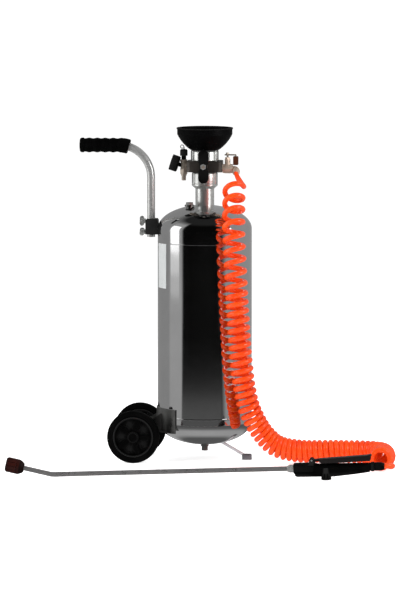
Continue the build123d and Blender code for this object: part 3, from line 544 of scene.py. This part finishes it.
def spiral_hose():
    """The coil, bent into its nut at the top and led by a plain tail into the gun's nut."""
    nut_low, nut_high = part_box("hose_nut")
    gun_low, gun_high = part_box("gun_swivel_nut")
    gun_nut = (gun_low + gun_high) / 2
    gun_nut.x = gun_high.x - TAIL_DEPTH
    gun_nut.z += TAIL_LIFT
    wound = coil_points()
    into_nut = Vector((0, cos(radians(TOP_SLOPE)), sin(radians(TOP_SLOPE))))
    top = ease(wound[::-1], (nut_low + nut_high) / 2, into_nut, TOP_BEND)[::-1]
    tail = smooth_path([wound[-1], *TAIL_PATH, gun_nut, gun_nut + TAIL_END], TAIL_STEP)
    path = top + wound + tail[1:]
    path = path[:1] + [p for before, p in zip(path, path[1:]) if (p - before).length > SAME_PLACE]
    path = resample(path, HOSE_STEP)
    last = len(path) - 1
    radii = [HOSE_END_R + (HOSE_R - HOSE_END_R) * min(1.0, k / HOSE_TAPER, (last - k) / HOSE_TAPER)
             for k in range(last + 1)]
    vertices, faces = tube_mesh(path, radii, HOSE_SIDES)
    hose = piece("spiral_hose", vertices, faces, "cart", "orange_hose")
    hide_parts("coil_hose")


# Handle grip with finger grooves

HANDLE_TUBE_R = 0.010
HANDLE_BEND_R = 0.080
GRIP_START = 72            # degrees round the handle's bend at which the grip begins
GRIP_STEP = 0.001
GRIP_SIDES = 48
GRIP_CREASE = 50
GRIP_EDGE = 0.006          # rounding of the closed end
MOUTH = 0.003              # length over which the open end widens
MOUTH_SHARE = 0.9
GROOVE_HALF_DEPTH = 0.0009
GROOVE_PITCH = 0.020
GROOVES_FROM = 0.016
GROOVES_BEFORE_END = 0.010


def grip_radius(along, length, full):
    """Radius of the sleeve at a distance from its open end."""
    to_end = length - along
    grooved = GROOVES_FROM < along < length - GROOVES_BEFORE_END
    groove = GROOVE_HALF_DEPTH * (1 - cos(tau * along / GROOVE_PITCH)) if grooved else 0.0
    mouth = 1.0 if along > MOUTH else MOUTH_SHARE + (1 - MOUTH_SHARE) * sqrt(along / MOUTH)
    edge = sqrt(max(0.0, 1 - ((GRIP_EDGE - to_end) / GRIP_EDGE) ** 2)) if to_end < GRIP_EDGE else 1.0
    return (full - groove) * mouth - GRIP_EDGE * (1 - edge)


def grip():
    low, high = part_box("handle_grip")
    full = (high.y - low.y) / 2
    grip_z = high.z - full
    bend_middle = (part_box("handle_tube")[1].x - HANDLE_TUBE_R - HANDLE_BEND_R, grip_z - HANDLE_BEND_R)
    bend = [Vector((x, 0, z)) for x, z in arc(bend_middle, HANDLE_BEND_R, HANDLE_BEND_R, GRIP_START, 90, 8)]
    path = resample([*bend, Vector((low.x, 0, grip_z))], GRIP_STEP)
    length = (len(path) - 1) * GRIP_STEP
    radii = [grip_radius(k * GRIP_STEP, length, full) for k in range(len(path))]
    vertices, faces = tube_mesh(path, radii, GRIP_SIDES)
    shape = piece("grip_sleeve", vertices, faces, "handle", "grip_rubber")
    shape.data.set_sharp_from_angle(angle=radians(GRIP_CREASE))
    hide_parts("handle_grip")


# Springs, finer than the frame's, at the squeezed lengths they are given

GUN_SLOPE = 2              # degrees by which the gun leans
TURN_STEPS = 28
WIRE_SIDES = 10


def coil_spring(node, body, axis, length, wire_r, pitch):
    """A coil in place of the CAD's, drawn at the length it is given."""
    low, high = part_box(node)
    middle = (low + high) / 2
    mean_r = (high.y - low.y) / 2 - wire_r
    turn = axis.to_track_quat("Z", "Y")
    rise = length - 2 * wire_r
    steps = int(rise / pitch * TURN_STEPS)
    path = []
    for k in range(steps + 1):
        angle = tau * rise * k / steps / pitch
        height = rise * (k / steps - 0.5)
        path.append(middle + turn @ Vector((mean_r * cos(angle), mean_r * sin(angle), height)))
    vertices, faces = tube_mesh(path, [wire_r] * len(path), WIRE_SIDES)
    shape = piece(node + "_wire", vertices, faces, body, "spring_steel")
    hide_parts(node)
    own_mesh(shape)


def springs():
    slope = radians(GUN_SLOPE)
    coil_spring("safety_valve_spring", "cart", UP,
                length=0.0088, wire_r=0.0006, pitch=0.0022)
    coil_spring("gun_spring", "lance", Vector((-sin(slope), 0, cos(slope))),
                length=0.021, wire_r=0.0007, pitch=0.0036)


# Plates that close the holes in the wheels' webs, behind the spokes

LINER_R = 0.043
LINER_HOLE_R = 0.009
LINER_HALF = 0.0012
LINER_INWARD = 0.0032      # from the rim's middle toward the tank
LINER_SIDES = 72


def wheel_liners():
    profile = [(LINER_HOLE_R, LINER_HALF), (LINER_R, LINER_HALF),
               (LINER_R, -LINER_HALF), (LINER_HOLE_R, -LINER_HALF)]
    for side, toward_tank in (("left", -1), ("right", 1)):
        low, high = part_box("wheel_rim_" + side)
        middle = (low + high) / 2 + Vector((0, toward_tank * LINER_INWARD, 0))
        turn = Matrix.Translation(middle) @ Matrix.Rotation(pi / 2, 4, "X")
        lathe("wheel_liner_" + side, profile, turn, side + "_wheel", "black_plastic", sides=LINER_SIDES)


# Camera, at the photograph's viewing angle

AZIMUTH = 4.8
ELEVATION = 5.5
DISTANCE = 15.0
SENSOR = 36.0
LENS = 359.4
LOOK_AT = at(-10.7, -0.9, 399)
FAR_CLIP = 100


def camera():
    a, e = radians(AZIMUTH), radians(ELEVATION)
    back = Vector((sin(a) * cos(e), -cos(a) * cos(e), sin(e)))
    data = bpy.data.cameras.new("camera")
    data.sensor_width = SENSOR
    data.lens = LENS
    data.clip_end = FAR_CLIP
    eye = bpy.data.objects.new("camera", data)
    eye.location = LOOK_AT + back * DISTANCE
    eye.rotation_mode = "QUATERNION"
    eye.rotation_quaternion = (-back).to_track_quat("-Z", "Y")
    bpy.context.scene.collection.objects.link(eye)
    bpy.context.scene.camera = eye
    bpy.context.scene.view_settings.view_transform = "Standard"


# Studio: white to the eye. What the polished metal sees is darker, and shapes its bright and dark bands.

FLOOR_R = 3.5
FLOOR_Y = -0.15
FLOOR_DROP = 0.0005
FLOOR_SIDES = 96
# Distance from the tank, and the floor's painted level there in a reflection: painted shade close under the
# tank, a painted bright band beyond it, then darker further out
FLOOR_TONES = (
    (0.0, 0.11), (0.07, 0.12), (0.105, 0.42), (0.16, 0.42), (0.23, 0.15), (0.38, 0.10), (1.20, 0.10),
    (1.50, 0.08), (1.70, 0.042), (2.15, 0.016), (2.60, 0.007), (3.30, 0.003),
)
MIDDLE_OF_DARK = -7        # degrees from the camera to the middle of the dark zone
DARK_HALF = (46, 50)       # degrees to each side over which the zone ends
CLEAR_FROM, CLEAR_TO = 0.45, 0.8        # distances over which the floor beside the zone fades away

# Degrees round the tank from the camera, and the level of the wall there in a reflection
WALL_TONES = (
    (-180, 0.28), (-100, 0.30), (-93, 0.40), (-60, 0.40), (-54, 0.003), (30, 0.003), (42, 0.03),
    (54, 0.36), (80, 0.34), (180, 0.36),
)
CEILING_LEVEL = 0.02
CEILING_FROM, CEILING_TO = 0.72, 0.9    # sines of elevation over which the wall turns into the ceiling
BACKDROP_STRENGTH = 1.05


def floor():
    """A pale disc, white to the eye; polished metal sees painted tones of light and shade in it."""
    ring = [Vector((TANK_X + FLOOR_R * cos(tau * k / FLOOR_SIDES),
                    FLOOR_Y + FLOOR_R * sin(tau * k / FLOOR_SIDES), -FLOOR_DROP)) for k in range(FLOOR_SIDES)]
    mesh = bpy.data.meshes.new("floor")
    mesh.from_pydata([tuple(v) for v in ring], [], [tuple(range(FLOOR_SIDES))])
    look = Look("floor_paper")
    paper = look.mix(look.spread(look.noise(6), 0, 1), (0.93, 0.93, 0.93), (0.96, 0.96, 0.96))
    look.drive("Base Color", paper)
    look.set(Roughness=0.9, Specular_IOR_Level=0.1, Emission_Color=(1, 1, 1, 1), Emission_Strength=0.72)
    look.bump(look.noise(300), 0.05, 0.2 * MM)
    shader = look.choose(look.seen_by("Glossy"), look.shader.outputs["BSDF"], reflected_floor(look))
    look.join(shader, look.tree.nodes["Material Output"].inputs["Surface"])
    mesh.materials.append(look.material)
    disc = bpy.data.objects.new("floor", mesh)
    bpy.context.scene.collection.objects.link(disc)


def reflected_floor(look):
    """What polished metal sees: painted light and shade by distance, and beside the dark zone the walls
    through the floor.
    """
    from_tank = look.vector("SUBTRACT", look.object_space, (TANK_X, 0, 0))
    distance = look.vector("LENGTH", from_tank)
    tones = [(reach / FLOOR_R, level) for reach, level in FLOOR_TONES]
    # A painted glow, seen only in reflections, that stands in for the floor's light and shade
    glow = look.add("ShaderNodeEmission")
    look.join(look.greys(look.spread(distance, 0, 1, 0, FLOOR_R), tones), glow.inputs["Color"])
    a = radians(AZIMUTH + MIDDLE_OF_DARK)
    along = look.vector("DOT_PRODUCT", look.vector("NORMALIZE", from_tank), (sin(a), -cos(a), 0))
    inner, outer = (cos(radians(half)) for half in DARK_HALF)
    beside = look.spread(along, 1, 0, outer, inner)
    far = look.spread(distance, 0, 1, CLEAR_FROM, CLEAR_TO)
    clear = look.add("ShaderNodeBsdfTransparent")
    return look.choose(look.math("MULTIPLY", beside, far), glow.outputs["Emission"], clear.outputs["BSDF"])


def studio_world():
    """White to the eye; in reflections pale walls with a dark zone before the camera, and a dark ceiling."""
    world = bpy.data.worlds.new("studio")
    bpy.context.scene.world = world
    world.use_nodes = True
    world.node_tree.nodes.clear()
    sky = Tree(world.node_tree)
    direction = sky.add("ShaderNodeTexCoord").outputs["Generated"]
    a = radians(AZIMUTH)
    angle = sky.math("ARCTAN2", sky.vector("DOT_PRODUCT", direction, (cos(a), sin(a), 0)),
                     sky.vector("DOT_PRODUCT", direction, (sin(a), -cos(a), 0)))
    tones = [((turn + 180) / 360, level) for turn, level in WALL_TONES]
    walls = sky.greys(sky.spread(angle, 0, 1, -pi, pi), tones)
    high = sky.spread(sky.vector("DOT_PRODUCT", direction, UP), 0, 1, CEILING_FROM, CEILING_TO)
    room = sky.add("ShaderNodeBackground")
    sky.join(sky.mix(high, walls, (CEILING_LEVEL,) * 3), room.inputs["Color"])
    backdrop = sky.add("ShaderNodeBackground")
    backdrop.inputs["Color"].default_value = (1, 1, 1, 1)
    backdrop.inputs["Strength"].default_value = BACKDROP_STRENGTH
    seen = sky.choose(sky.seen_by("Camera"), room.outputs["Background"], backdrop.outputs["Background"])
    sky.join(seen, sky.add("ShaderNodeOutputWorld").inputs["Surface"])


def area_light(name, place, target, size, watts, reflected=False):
    """A soft lamp that the camera doesn't see, and polished metal only if reflected."""
    data = bpy.data.lights.new(name, "AREA")
    data.shape = "RECTANGLE"
    data.size, data.size_y = size
    data.energy = watts
    lamp = bpy.data.objects.new(name, data)
    lamp.location = place
    lamp.rotation_mode = "QUATERNION"
    lamp.rotation_quaternion = (target - place).to_track_quat("-Z", "Y")
    lamp.visible_glossy = reflected
    lamp.visible_camera = False
    bpy.context.scene.collection.objects.link(lamp)


PANEL_PLACE = at(-1235, -410, 0)
PANEL_WIDTH = 0.62
PANEL_STRIPS = ((0.30, 0.36, 0.02), (0.36, 0.42, 0.05), (0.42, 1.40, 2.4))     # low edge, high edge, watts
SIDE_PANEL_PLACE = at(1120, -590, 930)


def panel(name, place, size, watts):
    """An upright lamp facing the tank's axis, which shows in the polished metal."""
    area_light(name, place, Vector((TANK_X, 0, place.z)), size, watts, reflected=True)


def lights():
    middle = at(0, -60, 380)
    area_light("overhead", at(0, -100, 2600), at(0, -120, 0), size=(3.4, 3.4), watts=55)
    area_light("left_front", at(-1900, -1700, 1500), middle, size=(1.2, 1.6), watts=40)
    area_light("right_front", at(1500, -2100, 900), middle, size=(1.4, 1.4), watts=20)
    for low, high, watts in PANEL_STRIPS:
        panel("panel", PANEL_PLACE + UP * ((low + high) / 2), (PANEL_WIDTH, high - low), watts)
    panel("side_panel", SIDE_PANEL_PLACE, (0.42, 0.75), 5.0)


finish_nodes()
tank()
spiral_hose()
grip()
wheel_liners()
springs()
floor()
studio_world()
lights()
camera()
